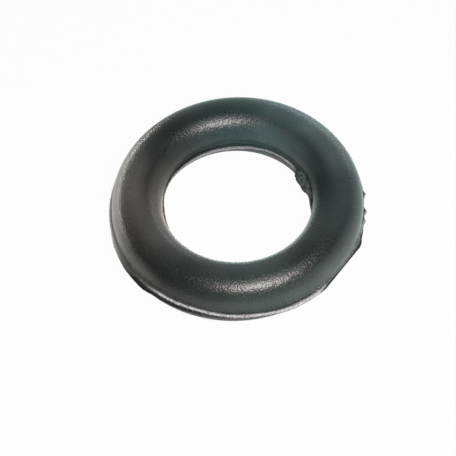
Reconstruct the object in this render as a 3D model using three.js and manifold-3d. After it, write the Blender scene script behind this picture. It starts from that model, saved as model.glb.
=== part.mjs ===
// Exhaust hanger rubber: a plain ring of round section that loops over two hooks.
// It was moulded in two plates that closed a little out of line, so the lower half sits beside the
// upper one, and a thin sheet of flash was squeezed out between them all round. The flash was cut
// back by hand: close in some places, wide in others, straight at one side and torn in the bore.
// Millimetres, +Z up, origin at the middle of the ring on the parting plane.

import * as THREE from 'three';
import { mergeVertices } from 'three/addons/utils/BufferGeometryUtils.js';
import Module from 'manifold-3d';

const wasm = await Module();
wasm.setup();

// Ring
const BORE = 37; // hole from wall to wall
const SECTION_WIDTH = 12.5; // rubber between the bore and the outside
const SECTION_HEIGHT = 14; // both mould halves together

// How the two plates missed each other: the lower half moved this far, this way
const MOULD_SHIFT = 0.92;
const MOULD_SHIFT_DIRECTION = 221; // degrees round from +X

// Flash at the parting plane
const FLASH_THICKNESS = 0.44;

// Flash left past the body, as [angle round the ring, width]
const OUTER_FLASH = [
  [1.5, 0.9], [4, 0.4], [20, 0.42], [29, 0.12], [45, 0.05], [70, 0.2], [130, 0.25], [165, 0.05],
  [190, 0.06], [201, 0.45], [215, 0.8], [225, 0.95], [230, 0.6], [243, 0.55], [256, 0.5],
  [275, 0.75], [292, 1.2], [303, 1.2], [335, 1.35], [340, 0.85], [345, 0.55], [347.5, 0.85],
  [349.5, 0.4], [352.5, 0.95], [354.5, 0.2], [359, 0.3],
];
const BORE_FLASH = [
  [3, 0.2], [7, 0.45], [11.5, 1.2], [16, 1.35], [22, 1.5], [27, 1.1], [31, 0.25], [38, 0.15],
  [50, 0.2], [60, 0.4], [72, 0.9], [85, 1.3], [98, 1.55], [115, 1.5], [128, 1.3], [139, 0.95],
  [148, 0.5], [168, 0.26], [184, 0.5], [205, 0.35], [240, 0.15], [330, 0.05],
];

// Knife cut that took the outer flash off straight
const TRIM_DIRECTION = 320; // degrees, square to the cut
const TRIM_DISTANCE = 31.55; // from the middle of the ring to the cut

// Torn flash in the bore: a thick ragged lip is left
const LIP_FROM = 5;
const LIP_TO = 30;
const LIP_THICKNESS = 1.3;
const LIP_BEVEL = 0.3;

// Bites that the tear took out of the bore wall, one in each half
const UPPER_BITE = { from: -14, to: 27, depth: 0.6, low: 0, high: 1.4 };
const LOWER_BITE = { from: -40, to: 3, depth: 0.75, low: -2.6, high: 0.3 };
const BITE_RUN_OUT = 0.3; // share of the depth that the torn face stands clear of the wall at both ends
const BITE_RIPPLE = 0.08; // how far the torn face goes in and out
const BITE_RIPPLES = 5; // how often it does, over one bite

// Smoothness of the mesh
const AROUND = 96; // steps round the ring
const ACROSS = 14; // steps over the round of one half
const EDGE_STEP = 1.5; // degrees between points on the edges of the flash

// Sizes that follow
const MEAN_RADIUS = (BORE + SECTION_WIDTH) / 2;
const ROUND = SECTION_WIDTH / 2; // full radius at the bottom of each mould groove
const GROOVE_WALL = SECTION_HEIGHT / 2 - ROUND; // straight part of the groove above the round
const HALVES_LAP = FLASH_THICKNESS / 4; // how far each half runs past the parting plane, in the flash
const UPPER_CENTRE = polar(MOULD_SHIFT / 2, MOULD_SHIFT_DIRECTION + 180);
const LOWER_CENTRE = polar(MOULD_SHIFT / 2, MOULD_SHIFT_DIRECTION);

function polar(radius, degrees) {
  const angle = THREE.MathUtils.degToRad(degrees);
  return new THREE.Vector2(radius * Math.cos(angle), radius * Math.sin(angle));
}

// A closed geometry as a solid that can be joined and cut
function solid(geometry) {
  const bare = geometry.clone();
  bare.deleteAttribute('normal');
  bare.deleteAttribute('uv');
  const merged = mergeVertices(bare);
  return new wasm.Manifold(new wasm.Mesh({
    numProp: 3,
    vertProperties: new Float32Array(merged.attributes.position.array),
    triVerts: new Uint32Array(merged.index.array),
  }));
}

function geometryOf(manifold) {
  const mesh = manifold.getMesh();
  const geometry = new THREE.BufferGeometry();
  geometry.setAttribute('position', new THREE.BufferAttribute(mesh.vertProperties, 3));
  geometry.setIndex(new THREE.BufferAttribute(mesh.triVerts, 1));
  geometry.computeVertexNormals();
  return geometry;
}

// One mould half: the full-radius groove and its short wall, turned round the ring's axis.
// side is 1 for the upper half and -1 for the lower one.
function halfRing(side, centre) {
  const profile = [new THREE.Vector2(MEAN_RADIUS + side * ROUND, -side * HALVES_LAP)];
  for (let i = 0; i <= ACROSS; i += 1) {
    const angle = (Math.PI * i) / ACROSS;
    profile.push(new THREE.Vector2(
      MEAN_RADIUS + side * ROUND * Math.cos(angle),
      side * (GROOVE_WALL + ROUND * Math.sin(angle)),
    ));
  }
  profile.push(new THREE.Vector2(MEAN_RADIUS - side * ROUND, -side * HALVES_LAP));
  profile.push(profile[0].clone());
  const geometry = new THREE.LatheGeometry(profile, AROUND);
  geometry.rotateX(Math.PI / 2);
  geometry.translate(centre.x, centre.y, 0);
  return solid(geometry);
}

// Distance from the origin to a circle about centre, along a direction
function reach(centre, radius, degrees) {
  const ray = polar(1, degrees);
  const along = centre.dot(ray);
  const across = centre.cross(ray);
  return along + Math.sqrt(radius * radius - across * across);
}

// Width of the flash at an angle, eased between the stations on either side of it
function flashWidth(stations, degrees) {
  const angle = THREE.MathUtils.euclideanModulo(degrees, 360);
  const [firstAngle, firstWidth] = stations[0];
  const [lastAngle, lastWidth] = stations[stations.length - 1];
  const closed = [[lastAngle - 360, lastWidth], ...stations, [firstAngle + 360, firstWidth]];
  const next = Math.max(1, closed.findIndex(([at]) => at > angle));
  const [start, startWidth] = closed[next - 1];
  const [end, endWidth] = closed[next];
  const share = THREE.MathUtils.smoothstep(angle, start, end);
  return THREE.MathUtils.lerp(startWidth, endWidth, share);
}

// The flash starts at whichever half reaches further, outside and in the bore
function outerFlashEdge(degrees) {
  const radius = MEAN_RADIUS + ROUND;
  const body = Math.max(reach(UPPER_CENTRE, radius, degrees), reach(LOWER_CENTRE, radius, degrees));
  return body + flashWidth(OUTER_FLASH, degrees);
}

function boreFlashEdge(degrees) {
  const radius = MEAN_RADIUS - ROUND;
  const body = Math.min(reach(UPPER_CENTRE, radius, degrees), reach(LOWER_CENTRE, radius, degrees));
  return body - flashWidth(BORE_FLASH, degrees);
}

function edgePoints(edge, from, to) {
  const steps = Math.round((to - from) / EDGE_STEP);
  const points = [];
  for (let i = 0; i <= steps; i += 1) {
    const degrees = THREE.MathUtils.lerp(from, to, i / steps);
    points.push(polar(edge(degrees), degrees));
  }
  return points;
}

function slab(shape, thickness) {
  const geometry = new THREE.ExtrudeGeometry(shape, { depth: thickness, bevelEnabled: false });
  geometry.translate(0, 0, -thickness / 2);
  return geometry;
}

// The sheet of flash, with the knife cut taken off its outside
function flashSheet() {
  const shape = new THREE.Shape(edgePoints(outerFlashEdge, 0, 360).slice(0, -1));
  shape.holes.push(new THREE.Path(edgePoints(boreFlashEdge, 0, 360).slice(0, -1)));
  const knife = new THREE.BoxGeometry(SECTION_WIDTH, 2 * MEAN_RADIUS, SECTION_WIDTH);
  knife.translate(TRIM_DISTANCE + SECTION_WIDTH / 2, 0, 0);
  knife.rotateZ(THREE.MathUtils.degToRad(TRIM_DIRECTION));
  return solid(slab(shape, FLASH_THICKNESS)).subtract(solid(knife));
}

// The thick ragged lip in the bore, bevelled by the tear
function tornLip() {
  const lip = edgePoints((degrees) => boreFlashEdge(degrees) + LIP_BEVEL, LIP_FROM, LIP_TO);
  const root = edgePoints(() => MEAN_RADIUS - ROUND / 2, LIP_FROM, LIP_TO);
  const geometry = new THREE.ExtrudeGeometry(new THREE.Shape([...lip, ...root.reverse()]), {
    depth: LIP_THICKNESS - 2 * LIP_BEVEL,
    bevelThickness: LIP_BEVEL,
    bevelSize: LIP_BEVEL,
    bevelSegments: 1,
  });
  geometry.translate(0, 0, LIP_BEVEL - LIP_THICKNESS / 2);
  return solid(geometry);
}

// What came out of the wall of one half: deepest at its middle, and run out of the wall at both ends
function bite(centre, { from, to, depth, low, high }) {
  const tornFace = (degrees) => {
    const share = (degrees - from) / (to - from);
    const scoop = (1 + BITE_RUN_OUT) * Math.sin(Math.PI * share) - BITE_RUN_OUT;
    const ripple = Math.sin(2 * Math.PI * BITE_RIPPLES * share);
    return reach(centre, MEAN_RADIUS - ROUND, degrees) + depth * scoop + BITE_RIPPLE * ripple;
  };
  const deep = edgePoints(tornFace, from, to);
  const clear = edgePoints(() => MEAN_RADIUS - SECTION_WIDTH, from, to);
  const geometry = new THREE.ExtrudeGeometry(new THREE.Shape([...clear, ...deep.reverse()]), {
    depth: high - low,
    bevelEnabled: false,
  });
  geometry.translate(0, 0, low);
  return solid(geometry);
}

const ring = halfRing(1, UPPER_CENTRE)
  .add(halfRing(-1, LOWER_CENTRE))
  .add(flashSheet())
  .subtract(bite(UPPER_CENTRE, UPPER_BITE))
  .subtract(bite(LOWER_CENTRE, LOWER_BITE))
  .add(tornLip());

const rubber = new THREE.MeshStandardMaterial({ color: 0x33383a, roughness: 0.55, metalness: 0 });
const hangerRing = new THREE.Mesh(geometryOf(ring), rubber);
hangerRing.name = 'hanger_ring';

const part = new THREE.Group();
part.add(hangerRing);

export default part;
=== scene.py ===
# %% [markdown]
# # A black rubber exhaust hanger, as a lesson
# The object is one plain ring of rubber that loops over two hooks and carries an exhaust pipe.
# It was squeezed to shape between two mould plates. They closed a little out of line, so the
# lower half of the ring sits beside the upper half, and a thin sheet of flash crept out
# between them. That flash, trimmed by hand and torn in the bore, is most of the detail here.
#
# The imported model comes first: every size below has to agree with it.

# %% Load the frame
import math

import bpy
import numpy as np
from mathutils import Matrix, Vector, noise


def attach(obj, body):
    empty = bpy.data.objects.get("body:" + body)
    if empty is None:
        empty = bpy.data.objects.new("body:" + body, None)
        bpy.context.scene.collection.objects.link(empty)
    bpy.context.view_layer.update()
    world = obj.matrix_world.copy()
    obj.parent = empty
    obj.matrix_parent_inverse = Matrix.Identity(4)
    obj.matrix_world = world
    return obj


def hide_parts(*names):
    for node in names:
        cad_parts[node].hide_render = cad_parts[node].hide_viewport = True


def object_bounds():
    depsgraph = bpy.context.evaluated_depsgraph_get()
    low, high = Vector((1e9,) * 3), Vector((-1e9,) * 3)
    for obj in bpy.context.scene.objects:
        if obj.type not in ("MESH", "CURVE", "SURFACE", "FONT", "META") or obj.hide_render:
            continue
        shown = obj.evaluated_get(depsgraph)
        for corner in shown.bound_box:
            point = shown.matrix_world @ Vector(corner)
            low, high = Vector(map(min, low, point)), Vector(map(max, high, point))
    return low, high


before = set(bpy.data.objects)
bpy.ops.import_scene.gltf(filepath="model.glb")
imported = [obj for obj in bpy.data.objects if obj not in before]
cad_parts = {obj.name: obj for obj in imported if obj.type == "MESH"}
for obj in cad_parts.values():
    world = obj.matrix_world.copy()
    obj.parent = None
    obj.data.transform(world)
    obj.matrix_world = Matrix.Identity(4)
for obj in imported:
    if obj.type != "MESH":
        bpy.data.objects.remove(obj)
cad_low, cad_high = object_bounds()
print("CAD box, mm:", [round(v * 1000, 2) for v in (*cad_low, *cad_high)])

# %% [markdown]
# ## Sizes
# Blender works in metres, so lengths are written as a number of MM. They are the sizes of the
# rubber itself: the hole, the width and height of the section, and how far the plates missed
# each other.

# %% Sizes of the ring
MM = 0.001
BORE = 37 * MM
SECTION_WIDTH = 12.5 * MM
SECTION_HEIGHT = 14 * MM
FLASH_THICKNESS = 0.44 * MM
MOULD_SHIFT = 0.92 * MM
MOULD_SHIFT_DIRECTION = math.radians(221)

MEAN_RADIUS = (BORE + SECTION_WIDTH) / 2
ROUND = SECTION_WIDTH / 2
GROOVE_WALL = SECTION_HEIGHT / 2 - ROUND
SHIFT_LINE = np.array([math.cos(MOULD_SHIFT_DIRECTION), math.sin(MOULD_SHIFT_DIRECTION)])
SHIFT = MOULD_SHIFT / 2 * SHIFT_LINE
UPPER_CENTRE, LOWER_CENTRE = -SHIFT, SHIFT
print("centre of the upper half, mm:", np.round(UPPER_CENTRE / MM, 2))

# %% [markdown]
# ## The camera
# The photograph looks down on the ring from 272 mm away, a little less than a long ruler, 56
# degrees above the table and rolled by 3 degrees. The ring sits above the middle of the picture,
# which is what the small shift does.

# %% Camera
IMAGE_SIZE = 456
CAMERA_DISTANCE = 271.9 * MM
CAMERA_ELEVATION = math.radians(56.38)
CAMERA_ROLL = math.radians(-2.9)
FOCAL_PIXELS = 1101
RING_RIGHT_PIXELS = 8.0
RING_UP_PIXELS = 24.4

camera_data = bpy.data.cameras.new("camera")
camera = bpy.data.objects.new("camera", camera_data)
bpy.context.scene.collection.objects.link(camera)
camera_data.sensor_width = 36
camera_data.lens = camera_data.sensor_width * FOCAL_PIXELS / IMAGE_SIZE
camera_data.shift_x = -RING_RIGHT_PIXELS / IMAGE_SIZE
camera_data.shift_y = -RING_UP_PIXELS / IMAGE_SIZE
camera_data.clip_start = 0.01
aim = Matrix.Rotation(math.pi / 2 - CAMERA_ELEVATION, 4, "X") @ Matrix.Rotation(CAMERA_ROLL, 4, "Z")
camera.matrix_world = aim
camera.location = (
    0,
    -CAMERA_DISTANCE * math.cos(CAMERA_ELEVATION),
    CAMERA_DISTANCE * math.sin(CAMERA_ELEVATION),
)
bpy.context.scene.camera = camera
print("lens, mm:", round(camera_data.lens, 1))

# %% [markdown]
# ## The section of the rubber
# Each plate has a groove with a full-radius bottom and a short straight wall. A circle standing
# on edge, cut along its middle and pulled apart by the two walls, is exactly that shape.
# It is turned by half a step so that no corner lies on the parting plane.

# %% Draw the section
SECTION_CORNERS = 96


def select(mesh, keep):
    """In edit mode, select the corners of the mesh that keep says yes to."""
    bpy.ops.object.mode_set(mode="OBJECT")
    for part in (mesh.vertices, mesh.edges, mesh.polygons):
        part.foreach_set("select", np.zeros(len(part), dtype=bool))
    chosen = [keep(corner.co) for corner in mesh.vertices]
    mesh.vertices.foreach_set("select", chosen)
    bpy.ops.object.mode_set(mode="EDIT")
    bpy.ops.mesh.select_mode(type="VERT")
    return sum(chosen)


bpy.ops.object.select_all(action="DESELECT")
bpy.ops.mesh.primitive_circle_add(
    vertices=SECTION_CORNERS,
    radius=ROUND,
    location=(MEAN_RADIUS, 0, 0),
    rotation=(math.pi / 2, math.pi / SECTION_CORNERS, 0),
)
ring = bpy.context.object
ring.name = "moulded_ring"
mesh = ring.data
bpy.ops.object.transform_apply(location=True, rotation=True, scale=True)
for side in (1, -1):
    count = select(mesh, lambda co: co.z * side > 0)
    bpy.ops.transform.translate(value=(0, 0, side * GROOVE_WALL))
    print("corners moved with one half:", count)

# %% [markdown]
# ## The flash on the section
# The flash leaves the wall as a thin sheet at the parting plane, outside and in the bore. On
# the section it is a small tab: the wall is cut where the two faces of the sheet start, both
# corners are extruded to the tip, and the tip is closed and rounded. The tab gets its true
# width later, because that changes all the way round.

# %% Extrude the flash tabs
TAB = 1 * MM
TIP_ROUND = 0.07 * MM
HALF_FLASH = FLASH_THICKNESS / 2
WALL = ROUND * math.cos(math.pi / SECTION_CORNERS)
CLOSE = 0.01 * MM


def select_edges(mesh, keep):
    """In edit mode, select the edges whose two ends keep says yes to."""
    select(mesh, lambda co: False)
    bpy.ops.object.mode_set(mode="OBJECT")
    for edge in mesh.edges:
        edge.select = keep(*[mesh.vertices[i].co for i in edge.vertices])
    bpy.ops.object.mode_set(mode="EDIT")
    bpy.ops.mesh.select_mode(type="EDGE")


def is_root(co):
    """Where a face of the flash leaves the wall."""
    return abs(abs(co.x - MEAN_RADIUS) - WALL) < CLOSE and abs(co.z) < HALF_FLASH + CLOSE


for height in (-HALF_FLASH, HALF_FLASH):
    bpy.ops.mesh.select_all(action="SELECT")
    bpy.ops.mesh.bisect(plane_co=(0, 0, height), plane_no=(0, 0, 1))
for side in (1, -1):
    select(mesh, lambda co: is_root(co) and (co.x - MEAN_RADIUS) * side > 0)
    bpy.ops.mesh.extrude_vertices_move(TRANSFORM_OT_translate={"value": (side * TAB, 0, 0)})
    bpy.ops.mesh.edge_face_add()
    bpy.ops.mesh.bevel(offset=TIP_ROUND, affect="VERTICES", segments=3)
    select_edges(mesh, lambda a, b: is_root(a) and is_root(b))
    bpy.ops.mesh.delete(type="EDGE")
bpy.ops.object.mode_set(mode="OBJECT")
print("corners on the section:", len(mesh.vertices), "edges:", len(mesh.edges))

# %% [markdown]
# ## Points where the detail will be
# The walls near the parting plane and the sheet itself are going to be torn and trimmed, so
# their straight edges are divided now. The long curved grooves need no more corners.

# %% Divide the straight edges
WALL_CUTS = 3
SHEET_CUTS = 4


def is_wall(a, b):
    return abs(a.x - b.x) < CLOSE and abs(a.z - b.z) > HALF_FLASH


def is_sheet_face(a, b):
    return abs(a.z - b.z) < CLOSE and abs(a.x - b.x) > TAB / 2


for straight, cuts in ((is_wall, WALL_CUTS), (is_sheet_face, SHEET_CUTS)):
    select_edges(mesh, straight)
    bpy.ops.mesh.subdivide(number_cuts=cuts)
bpy.ops.object.mode_set(mode="OBJECT")
print("corners on the divided section:", len(mesh.vertices))

# %% [markdown]
# ## One turn round the axis
# The section is swept round the ring's axis. Spin would do it too, but it slows down badly over
# hundreds of steps, and the Screw modifier with no rise takes a moment. The last copy lands on
# the first, so the doubles are merged, and then the normals are made to point outwards.

# %% Sweep the section round
STEPS = 600

sweep = ring.modifiers.new("sweep", "SCREW")
sweep.axis = "Z"
sweep.angle = 2 * math.pi
sweep.screw_offset = 0
sweep.steps = sweep.render_steps = STEPS
sweep.use_merge_vertices = False
bpy.ops.object.modifier_apply(modifier=sweep.name)
select(mesh, lambda co: True)
bpy.ops.mesh.remove_doubles(threshold=0.001 * MM)
bpy.ops.mesh.normals_make_consistent(inside=False)
bpy.ops.object.mode_set(mode="OBJECT")
print("ring corners:", len(mesh.vertices), "faces:", len(mesh.polygons))

# %% [markdown]
# ## How wide the flash is
# A trimmer works by hand, so the width wanders. It is written as a few stations round the ring,
# an angle and a width past the rubber, and eased from one to the next. Two faint ripples on
# top keep the trimmed edge from looking drawn.

# %% Width of the flash round the ring
OUTER_FLASH = [
    (1.5, 0.9), (4, 0.4), (20, 0.42), (29, 0.12), (45, 0.05), (70, 0.2), (130, 0.25),
    (165, 0.05), (190, 0.06), (201, 0.45), (215, 0.8), (225, 0.95), (230, 0.6), (243, 0.55),
    (256, 0.5), (275, 0.75), (292, 1.2), (303, 1.2), (335, 1.35), (340, 0.85), (345, 0.55),
    (347.5, 0.85), (349.5, 0.4), (352.5, 0.95), (354.5, 0.2), (359, 0.3),
]
BORE_FLASH = [
    (3, 0.2), (7, 0.45), (11.5, 1.2), (16, 1.35), (22, 1.5), (27, 1.1), (31, 0.25), (38, 0.15),
    (50, 0.2), (60, 0.4), (72, 0.9), (85, 1.3), (98, 1.55), (115, 1.5), (128, 1.3), (139, 0.95),
    (148, 0.5), (168, 0.26), (184, 0.5), (205, 0.35), (240, 0.15), (330, 0.05),
]
OUTER_RIPPLE = (0.05 * MM, 61)  # height, and waves in one turn
BORE_RIPPLE = (0.04 * MM, 47)
KNIFE_DIRECTION = math.radians(320)
KNIFE_DISTANCE = 31.55 * MM
KNIFE_REACH = math.cos(math.radians(60))  # its line is worked out up to 60 degrees to either side


def ease(share):
    """0 to 1 with a soft start and a soft end."""
    share = np.clip(share, 0, 1)
    return share * share * (3 - 2 * share)


def eased(stations, angles):
    """The value at each angle, eased between the stations on either side of it."""
    first, last = stations[0], stations[-1]
    closed = [(last[0] - 360, last[1]), *stations, (first[0] + 360, first[1])]
    value = np.zeros(len(angles))
    for (start, low), (end, high) in zip(closed, closed[1:]):
        here = (angles >= start) & (angles < end)
        value[here] = low + (high - low) * ease((angles[here] - start) / (end - start))
    return value


def reach(centre, radius, angle):
    """Distance from the origin to a circle about centre, along a direction."""
    along = centre[0] * np.cos(angle) + centre[1] * np.sin(angle)
    across = centre[0] * np.sin(angle) - centre[1] * np.cos(angle)
    return along + np.sqrt(radius**2 - across**2)


def ripple(angle, height, waves):
    """A faint unevenness, 0 to height, that joins up after one turn."""
    return height * (2 + np.sin(waves * angle) + np.sin((2 * waves + 7) * angle + 1.3)) / 4


def outer_edge(angle):
    """Distance from the axis to the outer edge of the flash."""
    radius = MEAN_RADIUS + ROUND
    body = np.maximum(reach(UPPER_CENTRE, radius, angle), reach(LOWER_CENTRE, radius, angle))
    width = eased(OUTER_FLASH, np.degrees(angle) % 360) * MM
    edge = body + width - ripple(angle, *OUTER_RIPPLE)
    off_knife = np.cos(angle - KNIFE_DIRECTION)
    line = KNIFE_DISTANCE / np.maximum(off_knife, KNIFE_REACH)
    knife = np.where(off_knife > KNIFE_REACH, line, np.inf)
    return np.minimum(edge, np.maximum(knife, body))


def bore_edge(angle):
    """Distance from the axis to the inner edge of the flash."""
    radius = MEAN_RADIUS - ROUND
    body = np.minimum(reach(UPPER_CENTRE, radius, angle), reach(LOWER_CENTRE, radius, angle))
    width = eased(BORE_FLASH, np.degrees(angle) % 360) * MM
    return body - width + ripple(angle, *BORE_RIPPLE)


sample = np.radians([0, 90, 180, 270])
print("flash edges, mm:", np.round(outer_edge(sample) / MM, 2), np.round(bore_edge(sample) / MM, 2))

# %% [markdown]
# ## Shift the halves and pull the flash out
# Every corner above the parting plane moves with the upper half, and every one below it with
# the lower half, which makes the step of the misplaced plates. The corners of the tabs are
# then drawn out along their own direction, from the wall to the edge of the flash. Reading
# all corners into one array makes this quick.

# %% Put the mismatch and the flash into the ring
corners = np.zeros(len(mesh.vertices) * 3)
mesh.vertices.foreach_get("co", corners)
corners = corners.reshape(-1, 3)
section_radius = np.hypot(corners[:, 0], corners[:, 1])
height = corners[:, 2].copy()
outside = section_radius > MEAN_RADIUS
past_wall = np.abs(section_radius - MEAN_RADIUS) - WALL
on_wall = np.abs(past_wall) < CLOSE
sheet = np.where(past_wall > CLOSE, np.clip(past_wall / TAB, 0, 1), 0)

centres = np.where(height[:, None] > 0, UPPER_CENTRE, LOWER_CENTRE)
root_radius = np.where(outside, MEAN_RADIUS + WALL, MEAN_RADIUS - WALL)
start_radius = np.where(sheet > 0, root_radius, section_radius)
corners[:, :2] = centres + corners[:, :2] * (start_radius / section_radius)[:, None]

angle = np.arctan2(corners[:, 1], corners[:, 0])
radius = np.hypot(corners[:, 0], corners[:, 1])
edge = np.where(outside, outer_edge(angle), bore_edge(angle))
width = np.abs(edge - radius)
radius += sheet * (edge - radius)
print("corners on the flash:", int((sheet > 0).sum()))

# %% [markdown]
# ## The slope of the flash
# The upper face of the sheet isn't flat. Rubber pulls back as it cools, so the sheet leaves the
# wall a little higher than it ends, and its edge droops. Where it is thick it runs up the wall
# like a fillet, and elsewhere it keeps a fine crease beside the wall, which draws a dark line.
# At one side of the bore the flash was torn instead of cut, and a thick ragged lip is left.

# %% Places round the ring
degrees = (np.degrees(angle) + 180) % 360 - 180
turn = degrees % 360
in_bore = ~outside & (section_radius < MEAN_RADIUS - ROUND / 2)


def share_along(start, end):
    """0 to 1 between two angles, and outside 0 to 1 elsewhere."""
    return (degrees - start) / (end - start)


print("corners in the bore:", int(in_bore.sum()))

# %% Slope the sheet and thicken the lip
OUTER_ROOT = [(0, 0.5), (30, 0.3), (60, 0.22), (285, 0.22), (300, 0.4), (312, 0.8), (345, 0.8)]
BORE_ROOT = [(30, 0.22), (50, 0.08), (140, 0.08), (160, 0.22)]
SLOPE = 0.42
DROOP_CURVE = 1.5
MOST_DROOP = 0.36 * MM
LIP_FROM, LIP_TO, LIP_THICKNESS = 5, 30, 1.3 * MM
LIP_START, LIP_END = 4, 3  # degrees in which it swells and dies away
LIP_TIP = 0.85  # share of its thickness left at the edge
WALL_TOP = height[on_wall].max()

swell = ease(share_along(LIP_FROM, LIP_FROM + LIP_START))
lip = in_bore * swell * ease(share_along(LIP_TO, LIP_TO - LIP_END))
lip_height = HALF_FLASH + (LIP_THICKNESS / 2 - HALF_FLASH) * lip
root = np.where(outside, eased(OUTER_ROOT, turn), eased(BORE_ROOT, turn)) * MM
root = np.where(lip > 0, np.maximum(root, lip_height), root)
droop = np.minimum(SLOPE * width, MOST_DROOP)
tip = np.maximum(HALF_FLASH - droop, LIP_TIP * lip_height * lip)
top = root - (root - tip) * sheet**DROOP_CURVE

above = np.where(height > 0, root, lip_height)
squeeze = (WALL_TOP - above) / (WALL_TOP - HALF_FLASH)
risen = np.sign(height) * (above + (np.abs(height) - HALF_FLASH) * squeeze)
new_height = np.where(on_wall, risen, height)
in_sheet = (height + HALF_FLASH) / FLASH_THICKNESS
new_height = np.where(sheet > 0, -lip_height + in_sheet * (top + lip_height), new_height)
print("thickest part of the lip, mm:", round(2 * lip_height.max() / MM, 2))

# %% Crease beside the wall
CREASE = 0.1 * MM

is_crease = outside & on_wall & (np.abs(height) < HALF_FLASH + CLOSE)
radius -= np.where(is_crease, CREASE * np.clip(2 - root / HALF_FLASH, 0, 1), 0)
print("corners in the crease:", int(is_crease.sum()))

# %% [markdown]
# ## The pale line on the flash, partly a painted highlight
# The flash was pressed between flat steel, so it is smoother than the skin, and handling has
# rubbed it pale along a line. The line is also a painted highlight, laid where the flash catches
# the light. At the front left the line runs beside the wall and leaves the edge black. It crosses
# the sheet at the front, and at the front right it lies along the edge. How pale it is, and how
# far out it lies, are again written as stations round the ring.

# %% Find the pale line and its painted highlight
PALE_OUTER = [
    (0, 0.9), (8, 0.8), (25, 0.5), (60, 0.3), (140, 0.3), (160, 0.7), (196, 0.6), (210, 0.05),
    (224, 0.15), (234, 0.95), (262, 1.0), (280, 0.85), (292, 0.95), (303, 0.9), (311, 0.3),
    (318, 0.3), (338, 0.35), (346, 0.9),
]
PALE_BORE = [
    (31, 0.2), (37, 0.7), (55, 0.55), (80, 0.6), (110, 0.7), (140, 0.6), (160, 0.5), (330, 0.4),
]
OUTER_LINE_AT = [
    (0, 0.85), (205, 0.85), (222, 0.22), (246, 0.24), (268, 0.55), (290, 0.75), (304, 0.8),
    (314, 0.35), (340, 0.35), (350, 0.85),
]
BORE_LINE_AT = 0.9
LINE_STARTS, LINE_RISE = -0.36, 0.3  # shares of the sheet's width, from the middle of the line
LINE_FADES, LINE_FALL = 0.1, 0.2

paleness = np.where(outside, eased(PALE_OUTER, turn), eased(PALE_BORE, turn))
past_line = sheet - np.where(outside, eased(OUTER_LINE_AT, turn), BORE_LINE_AT)
in_line = ease((past_line - LINE_STARTS) / LINE_RISE) * (1 - ease((past_line - LINE_FADES) / LINE_FALL))
# painted highlight: the pale line stands partly for light caught on the flash
pale_and_highlight = paleness * (sheet > 0) * in_line
print("corners gone pale:", int((pale_and_highlight > 0.5).sum()))

# %% [markdown]
# ## The torn place in the bore
# The tear took a bite out of the wall of each half. The corners of the wall are pushed back to
# the torn face. What is torn is remembered, so that the material can make it dull and mottled.

# %% Tear the bore
UPPER_BITE = {"start": -14, "end": 27, "depth": 0.6 * MM, "low": 0, "high": 1.4 * MM}
LOWER_BITE = {"start": -40, "end": 3, "depth": 0.75 * MM, "low": -2.6 * MM, "high": 0.3 * MM}
RUN_OUT = 0.3  # share of the depth that the torn face stands clear of the wall at both ends
TORN_FROM, TORN_TO = -40, 31
TORN_START, TORN_END = 4, 2  # degrees in which the torn look comes and goes

comes = ease(share_along(TORN_FROM, TORN_FROM + TORN_START))
torn = np.where(in_bore & (sheet > 0), comes, 0) * ease(share_along(TORN_TO, TORN_TO - TORN_END))
for centre, bite in ((UPPER_CENTRE, UPPER_BITE), (LOWER_CENTRE, LOWER_BITE)):
    share = share_along(bite["start"], bite["end"])
    scoop = (1 + RUN_OUT) * np.sin(math.pi * np.clip(share, 0, 1)) - RUN_OUT
    face = reach(centre, MEAN_RADIUS - ROUND, angle) + bite["depth"] * scoop
    band = in_bore & (lip * sheet == 0) & (new_height > bite["low"]) & (new_height < bite["high"])
    bitten = band & (share > 0) & (share < 1) & (face > radius)
    radius[bitten] = face[bitten]
    torn[bitten] = 1
    print("corners bitten back:", int(bitten.sum()))

# %% [markdown]
# ## The bloom on the skin, and painted light
# Wax creeps out of the rubber and dries on it. Where it lies as a film, the black turns a little
# grey. Where it is a fine dust, it can't be seen from straight above and whitens the rubber only
# at a glancing view, so the two are kept apart. The grey of the film is also painted light. The
# film is thickest at the back right and at the left, where the ring looks lit, and the front's
# outer slope, which looks dark, is nearly bare of it. The black is greenish at the back and
# neutral at the left. The amounts were judged round the ring, and are kept with its corners so
# that the material can use them.

# %% Spread the film and its painted light
# painted light: these amounts grey the rubber where the ring looks lit, on top of a film of wax
FILM_AND_PAINTED_LIGHT = [
    (0, 0.15), (22, 0.45), (45, 0.65), (62, 0.55), (85, 0.28), (105, 0.12), (130, 0.0), (142, 0.06),
    (165, 0.34), (185, 0.3), (212, 0.25), (228, 0.12), (240, 0.04), (262, 0.14), (285, 0.16),
    (312, 0.0), (335, 0.12),
]
FILM_AND_LIGHT_STRENGTH = 0.2
BACK, FRONT, LEFT = 75, 262, 165  # degrees round the ring
OUTSIDE, BORE_SIDE = 1, -1
# painted light: the left outer edge is lightened as a painted reflection of the white table, and the bore
# walls and front right walls as painted bounce light
WALL_PAINTED_LIGHT = [  # side, direction, amount, and how far across the section it starts
    (OUTSIDE, 163, 0.3, 0.62), (OUTSIDE, 350, 0.06, 0.4), (OUTSIDE, 298, 0.07, 0.4),
    (BORE_SIDE, 75, 0.1, 0.4), (BORE_SIDE, 190, 0.1, 0.4),
]
WALL_PAINTED_LIGHT_FULL = 0.95
# painted reflection: the flash at the left is lightened to carry on the light left edge
LEDGE_PAINTED_LIGHT = 0.3
FRONT_REACH = 1.5  # the larger, the further round the ring it counts as the front
SLOPE_BARE_AT = 0.7  # across the section: bare from here on, in front
BORE_BARE_FROM, BORE_BARE_OVER = 0.02, 0.45  # the same in the bore: where it starts, and over what
BORE_BARE, LESS_AT_BACK = 0.9, 0.4


def toward(direction, sharpness=1.5):
    """1 in a direction, in degrees, and down to 0 on either side of it, sooner if it is sharp."""
    off = np.cos(angle - math.radians(direction))
    return np.clip(sharpness * off - sharpness + 1, 0, 1)


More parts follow.
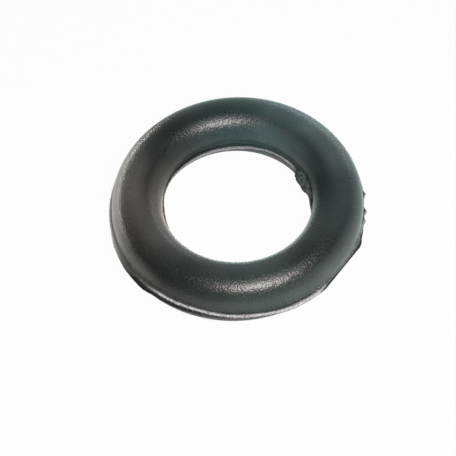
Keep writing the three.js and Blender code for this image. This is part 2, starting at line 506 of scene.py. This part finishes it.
across = (section_radius - MEAN_RADIUS) / ROUND  # -1 at the bore's wall to 1 at the outer wall
front = np.clip(FRONT_REACH * np.cos(angle - math.radians(FRONT)), 0, 1)
bare_slope = front * np.clip(across / SLOPE_BARE_AT, 0, 1)
down_bore = np.clip((-across - BORE_BARE_FROM) / BORE_BARE_OVER, 0, 1)
bare_bore = (1 - front) * (BORE_BARE - LESS_AT_BACK * toward(BACK)) * down_bore
# the film, partly wax and partly painted light, left bare on the dark front slope and low in the bore
bloom_and_painted_light = FILM_AND_LIGHT_STRENGTH * eased(FILM_AND_PAINTED_LIGHT, turn) * (1 - bare_slope) * (1 - bare_bore)
# painted light on the walls, and on the flash at the left
for side, direction, amount, start in WALL_PAINTED_LIGHT:
    up_wall = ease((side * across - start) / (WALL_PAINTED_LIGHT_FULL - start))
    bloom_and_painted_light += amount * toward(direction) * up_wall * (sheet == 0)
bloom_and_painted_light += LEDGE_PAINTED_LIGHT * toward(LEFT, sharpness=2.5) * (outside & (sheet > 0))
print("bloom from", round(bloom_and_painted_light.min(), 2), "to", round(bloom_and_painted_light.max(), 2))

# %% Spread the dust and the green
DUST_OUTSIDE = [
    (0, 0.75), (15, 0.85), (30, 1.0), (60, 0.6), (110, 0.42), (135, 0.22), (152, 0.9), (182, 1.0),
    (196, 0.7), (212, 0.25), (235, 0.0), (262, 0.05), (285, 0.4), (315, 0.6), (345, 0.8),
]
DUST_BORE = [
    (0, 0.4), (30, 0.1), (150, 0.2), (180, 0.8), (195, 1.0), (320, 1.0), (345, 0.8),
]
GREEN = [
    (0, 0.75), (15, 0.65), (30, 0.65), (45, 0.75), (62, 0.85), (100, 0.95), (120, 0.6), (140, 0.35),
    (165, 0.2), (180, 0.0), (200, 0.05), (215, 0.2), (255, 0.55), (285, 0.6), (310, 0.5),
    (330, 0.55), (345, 0.7),
]
BLEND = 0.4  # across the section, to either side of its middle, where the two dusts mix

outer_share = ease((across + BLEND) / (2 * BLEND))
dust = outer_share * eased(DUST_OUTSIDE, turn) + (1 - outer_share) * eased(DUST_BORE, turn)
green = eased(GREEN, turn)
print("dust from", round(dust.min(), 2), "to", round(dust.max(), 2))

# %% [markdown]
# Every corner now has its place. The torn ones are roughened along all three directions with a
# noise. Its seed is set first, so each run gives the same ring.

# %% Roughen the tear and write the ring back
CRUMB = 0.9 * MM
CRUMB_HEIGHT = 0.13 * MM
FINER = 2.6  # the small crumbs on the large ones, half as high
CRUMB_SEED = 5

corners[:, 0] = radius * np.cos(angle)
corners[:, 1] = radius * np.sin(angle)
corners[:, 2] = new_height
noise.seed_set(CRUMB_SEED)
for i in np.flatnonzero(torn > 0):
    place = Vector(corners[i]) / CRUMB
    crumbs = noise.noise_vector(place) + 0.5 * noise.noise_vector(place * FINER)
    corners[i] += np.array(crumbs) * CRUMB_HEIGHT * torn[i]
mesh.vertices.foreach_set("co", corners.ravel())
mesh.update()

# %% Keep the looks with the corners
SMOOTH_BELOW = math.radians(42)

looks = {"torn": torn, "pale_and_highlight": pale_and_highlight * (1 - torn), "bloom_and_painted_light": bloom_and_painted_light, "dust": dust, "green": green}
for name, amount in looks.items():
    layer = mesh.attributes.new(name, "FLOAT", "POINT")
    layer.data.foreach_set("value", amount.astype(np.float32))
    print(name, "on average:", round(float(amount.mean()), 3))
bpy.ops.object.select_all(action="DESELECT")
ring.select_set(True)
bpy.context.view_layer.objects.active = ring
bpy.ops.object.shade_smooth_by_angle(angle=SMOOTH_BELOW)

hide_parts("hanger_ring")
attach(ring, "root")

# %% [markdown]
# ## A helper for materials
# Materials are graphs of nodes. One function adds a node, sets it up and links it. Another turns
# the colours that a paint program shows into the linear values Blender works with, and a third
# makes a material with an empty graph.

# %% Helpers for materials


def linear(hex_colour):
    """An sRGB hex colour as linear red, green, blue and alpha."""
    parts = [int(hex_colour[i : i + 2], 16) / 255 for i in (1, 3, 5)]
    return [p / 12.92 if p <= 0.04045 else ((p + 0.055) / 1.055) ** 2.4 for p in parts] + [1]


def add(tree, kind, inputs=None, **settings):
    """A node of that kind with its settings; each input is a value or the output it comes from."""
    new = tree.nodes.new(kind)
    for key, value in settings.items():
        setattr(new, key, value)
    for key, value in (inputs or {}).items():
        if isinstance(value, bpy.types.NodeSocket):
            tree.links.new(value, new.inputs[key])
        else:
            new.inputs[key].default_value = value
    return new


def fresh_material(name):
    material = bpy.data.materials.new(name)
    material.use_nodes = True
    material.node_tree.nodes.clear()
    return material


print("black of the rubber, linear:", [round(v, 4) for v in linear("#201f1e")])

# %% [markdown]
# ## The rubber
# The ring is EPDM rubber filled with carbon black and moulded hot in a blasted steel mould, so
# its colour is near black and its IOR about 1.52. The blasted mould leaves a satin skin with a
# fine grain, which breaks the highlights into sparkle. The real grain is about 0.2 mm, too fine
# to show here, so it is drawn at about half a millimetre. The film of wax greys the black and
# dulls the gloss a little, and its grey is partly painted light. The dust is the shader's sheen,
# made for velvet and dust alike. Torn rubber is duller and shows its crumbs, and the line on the
# flash is pale, partly rubbed and partly a painted highlight.

# %% Patterns on the rubber
GRAIN = 0.48 * MM
PATCH = 9 * MM
SPECK = 0.8 * MM

rubber = fresh_material("compression_moulded_epdm")
tree = rubber.node_tree
place = add(tree, "ShaderNodeTexCoord").outputs["Object"]
patch, grain, speck = [
    add(tree, "ShaderNodeTexNoise", {"Vector": place, "Scale": 1 / size, "Detail": detail}).outputs[0]
    for size, detail in ((PATCH, 3), (GRAIN, 2), (SPECK, 1))
]
kept = {
    name: add(tree, "ShaderNodeAttribute", attribute_name=name).outputs["Fac"]
    for name in looks
}
print("amounts that the rubber reads:", list(kept))

# %% Uneven film and uneven pale line, both partly painted light
uneven = add(tree, "ShaderNodeMapRange", {
    "Value": patch, "From Min": 0.3, "From Max": 0.7, "To Min": 0.75, "To Max": 1.25,
})
speckled = add(tree, "ShaderNodeMapRange", {
    "Value": grain, "From Min": 0.38, "From Max": 0.62, "To Min": 0.6, "To Max": 1.25,
})
film_and_painted_light, rubbed_and_highlight = [
    add(tree, "ShaderNodeMath", {0: kept[name], 1: pattern.outputs[0]}, operation="MULTIPLY").outputs[0]
    for name, pattern in (("bloom_and_painted_light", uneven), ("pale_and_highlight", speckled))
]
print("nodes so far:", len(tree.nodes))

# %% Colours of the rubber
COLOURS = {"data_type": "RGBA"}

black, wax_and_light_tint = [
    add(tree, "ShaderNodeMix", {"Factor": kept["green"], 6: linear(neutral), 7: linear(green_one)}, **COLOURS)
    for neutral, green_one in (("#201f1e", "#172524"), ("#efebe4", "#98d8d8"))
]
# the grey film: partly wax, partly painted light
skin = add(tree, "ShaderNodeMix", {"Factor": film_and_painted_light, 6: black.outputs[2], 7: wax_and_light_tint.outputs[2]}, **COLOURS)
# the pale line on the flash: rubbed rubber with a painted highlight
flash = add(tree, "ShaderNodeMix", {"Factor": rubbed_and_highlight, 6: skin.outputs[2], 7: linear("#c6cacd")}, **COLOURS)
crumb_shade = add(tree, "ShaderNodeMapRange", {
    "Value": speck, "From Min": 0.35, "From Max": 0.7, "To Min": 0, "To Max": 1,
})
dull = add(tree, "ShaderNodeMix", {
    "Factor": crumb_shade.outputs[0], 6: linear("#14191a"), 7: linear("#525d5b"),
}, **COLOURS)
colour = add(tree, "ShaderNodeMix", {
    "Factor": kept["torn"], 6: flash.outputs[2], 7: dull.outputs[2],
}, **COLOURS)
print("nodes so far:", len(tree.nodes))

# %% Gloss, grain and dust
GLOSSIEST, DULLEST = 0.17, 0.4
WAXED_ROUGHNESS = 0.65
TORN_ROUGHNESS = 0.8
GRAIN_HEIGHT = 0.09 * MM
DUST_ROUGHNESS = 0.37
EPDM_IOR = 1.52

gloss = add(tree, "ShaderNodeMapRange", {
    "Value": grain, "From Min": 0.3, "From Max": 0.7, "To Min": GLOSSIEST, "To Max": DULLEST,
})
waxed = add(tree, "ShaderNodeMix", {"Factor": film_and_painted_light, 2: gloss.outputs[0], 3: WAXED_ROUGHNESS})
roughness = add(tree, "ShaderNodeMix", {"Factor": kept["torn"], 2: waxed.outputs[0], 3: TORN_ROUGHNESS})
bump = add(tree, "ShaderNodeBump", {"Height": grain, "Strength": 1.0, "Distance": GRAIN_HEIGHT})
shader = add(tree, "ShaderNodeBsdfPrincipled", {
    "Base Color": colour.outputs[2],
    "Roughness": roughness.outputs[0],
    "Normal": bump.outputs[0],
    "IOR": EPDM_IOR,
    "Sheen Weight": kept["dust"],
    "Sheen Roughness": DUST_ROUGHNESS,
    "Sheen Tint": wax_and_light_tint.outputs[2],
})
add(tree, "ShaderNodeOutputMaterial", {"Surface": shader.outputs[0]})
mesh.materials.clear()
mesh.materials.append(rubber)
print("nodes in the rubber:", len(tree.nodes))

# %% [markdown]
# ## The table
# The ring lies on plain white, and a white plane is enough for that. The camera sees nearly all
# of it as plain white. The rest is lit like light grey paper, so the ring keeps a soft shadow
# where it lies, and the light that the table throws back doesn't grey the black rubber. Only a
# little of the plain white is mirrored in the ring, because its lower side is dark.

# %% White table
TABLE_WIDTH = 3.0
PLAIN_WHITE = 0.96
PLAIN_IN_GLOSS = 0.12
PAPER = "#cccccc"

bpy.ops.object.select_all(action="DESELECT")
bpy.ops.mesh.primitive_plane_add(size=TABLE_WIDTH, location=(0, 0, 0))
table = bpy.context.object
table.name = "table"
table.data.transform(Matrix.Translation((0, 0, float(cad_low.z))))
paper = fresh_material("matt_white_table")
tree = paper.node_tree
path = add(tree, "ShaderNodeLightPath").outputs
seen = add(tree, "ShaderNodeMath", {
    0: path["Is Camera Ray"], 1: path["Is Transmission Ray"],
}, operation="MAXIMUM")
plainly = add(tree, "ShaderNodeMath", {0: seen.outputs[0], 1: PLAIN_WHITE}, operation="MULTIPLY")
mirrored = add(tree, "ShaderNodeMath", {
    0: path["Is Glossy Ray"], 1: PLAIN_IN_GLOSS,
}, operation="MULTIPLY")
share = add(tree, "ShaderNodeMath", {
    0: plainly.outputs[0], 1: mirrored.outputs[0],
}, operation="MAXIMUM")
lit = add(tree, "ShaderNodeBsdfDiffuse", {"Color": linear(PAPER)})
plain = add(tree, "ShaderNodeEmission", {"Color": (1, 1, 1, 1), "Strength": 1.0})
both = add(tree, "ShaderNodeMixShader", {0: share.outputs[0], 1: lit.outputs[0], 2: plain.outputs[0]})
add(tree, "ShaderNodeOutputMaterial", {"Surface": both.outputs[0]})
table.data.materials.append(paper)
print("table height, mm:", round(table.data.vertices[0].co.z / MM, 2))

# %% [markdown]
# ## The light
# Two bright bands lie on the ring, one at the front and one at the back. Both come from one
# soft lamp over the front of it, and a wider one near by fills in round them. A low lamp at the
# left and a fainter, cooler one behind on the right draw the light edges of the ring. The room
# is dim, and brighter behind the ring than in front of it. To the camera it is white.

# %% Lamps


def panel(name, place, size, radiance, colour, target=(0, 0, 0)):
    """A soft rectangular lamp that faces target. radiance is its brightness, where 1 is white."""
    data = bpy.data.lights.new(name, "AREA")
    data.shape = "RECTANGLE"
    data.size, data.size_y = size
    data.color = linear(colour)[:3]
    data.energy = radiance * math.pi * size[0] * size[1]
    lamp = bpy.data.objects.new(name, data)
    bpy.context.scene.collection.objects.link(lamp)
    lamp.location = place
    lamp.visible_camera = False
    lamp.rotation_euler = (Vector(target) - Vector(place)).to_track_quat("-Z", "Y").to_euler()
    print(name, "watts:", round(data.energy, 3))


panel("key_softbox", (0.031, -0.104, 0.160), (0.095, 0.045), 24.0, "#fff4f2")
panel("front_fill", (0.06, -0.08, 0.28), (0.16, 0.16), 2.4, "#ffffff")
panel("left_window", (-0.19, 0.14, 0.004), (0.26, 0.02), 16.0, "#fffaf4", target=(0, 0, 0.004))
panel("right_window", (0.13, 0.23, 0.025), (0.17, 0.05), 2.8, "#e6faff", target=(0, 0, 0.02))

# %% World
BRIGHT_SIDE = (0.15, 1.0, 0)
DIMMEST, BRIGHTEST = 0.06, 0.5

world = bpy.data.worlds.new("dim_room")
bpy.context.scene.world = world
world.use_nodes = True
tree = world.node_tree
tree.nodes.clear()
to_camera = add(tree, "ShaderNodeLightPath").outputs["Is Camera Ray"]
direction = add(tree, "ShaderNodeTexCoord").outputs["Generated"]
facing = add(tree, "ShaderNodeVectorMath", {0: direction, 1: BRIGHT_SIDE}, operation="DOT_PRODUCT")
level = add(tree, "ShaderNodeMapRange", {
    "Value": facing.outputs["Value"],
    "From Min": 0.2,
    "From Max": 1.0,
    "To Min": DIMMEST,
    "To Max": BRIGHTEST,
})
room = add(tree, "ShaderNodeBackground", {"Color": (1, 1, 1, 1), "Strength": level.outputs[0]})
white = add(tree, "ShaderNodeBackground", {"Color": (1, 1, 1, 1), "Strength": 1.0})
sky = add(tree, "ShaderNodeMixShader", {0: to_camera, 1: room.outputs[0], 2: white.outputs[0]})
add(tree, "ShaderNodeOutputWorld", {"Surface": sky.outputs[0]})
bpy.context.scene.view_settings.view_transform = "Standard"
print("nodes in the world:", len(tree.nodes))
